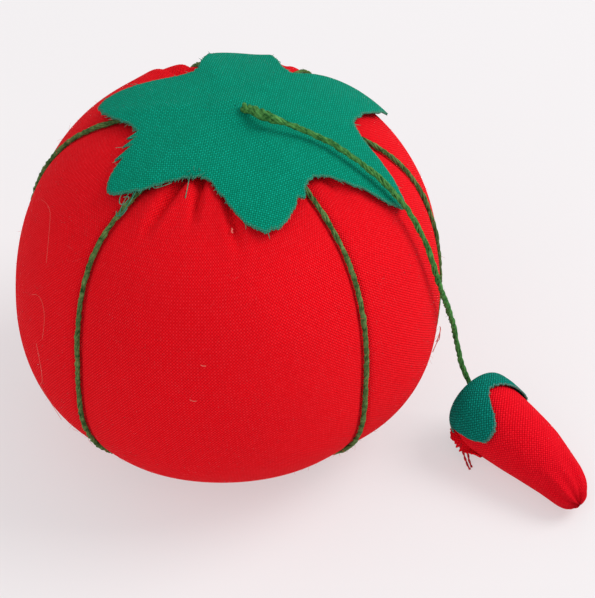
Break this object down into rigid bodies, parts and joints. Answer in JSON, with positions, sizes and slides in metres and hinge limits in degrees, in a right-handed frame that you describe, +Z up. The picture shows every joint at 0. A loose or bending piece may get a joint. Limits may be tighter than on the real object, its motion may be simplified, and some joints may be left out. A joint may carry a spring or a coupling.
{
  "type": "pin cushion",
  "caption": "Stuffed cloth tomato pin cushion, cord-bound into segments under a leaf cap, with a small stuffed pepper on a cord.",
  "frame": {"origin": "centre of the ball's resting face, on the surface it stands on", "axes": "+Z up, +X towards the side where the pepper lies, -Y towards the viewer who sees the pepper at the right"},
  "size_m": [0.095, 0.0688, 0.0651],
  "materials": {
    "ball_cloth": "plain-weave red cotton, matt",
    "stuffing": "packed sawdust and cotton waste",
    "segment_cord": "twisted dark olive green cotton cord",
    "gather_thread": "red sewing thread",
    "leaf_cloth": "plain-weave green cotton with cut, frayed edges",
    "leash_cord": "twisted green cotton cord",
    "pepper_cloth": "plain-weave red cotton, matt",
    "emery": "loose fine abrasive grit, packed",
    "pepper_leaf_cloth": "plain-weave green cotton with cut edges"
  },
  "bodies": {
    "cushion": {"tomato_cover": "ball_cloth", "tomato_stuffing": "stuffing", "top_knot": "segment_cord", "base_knot": "segment_cord", "core_strands": "segment_cord", "top_gather_thread": "gather_thread", "base_gather_thread": "gather_thread", "segment_cord_1": "segment_cord", "segment_cord_2": "segment_cord", "segment_cord_3": "segment_cord", "segment_cord_4": "segment_cord", "segment_cord_5": "segment_cord", "segment_cord_6": "segment_cord", "leaf_cap": "leaf_cloth"},
    "leash": {"leash_cord": "leash_cord"},
    "tie": {"pepper_tie_knot": "leash_cord"},
    "pepper": {"pepper_cover": "pepper_cloth", "pepper_filling": "emery", "pepper_gather_thread": "gather_thread", "pepper_cap": "pepper_leaf_cloth"}
  },
  "joints": [
    {"name": "leash_turn", "type": "hinge", "parent": "cushion", "child": "leash", "pos_m": [0.00241, 0, 0.06193], "axis": [0.0384, 0, 0.9993], "range_deg": [-180, 180]},
    {"name": "pepper_swing", "type": "hinge", "parent": "leash", "child": "tie", "pos_m": [0.0413, -0.0053, 0.0086], "axis": [0, 0, 1], "range_deg": [-50, 70]},
    {"name": "pepper_lift", "type": "hinge", "parent": "tie", "child": "pepper", "pos_m": [0.0413, -0.0053, 0.0086], "axis": [-0.788, -0.6157, 0], "range_deg": [0, 25]}
  ]
}
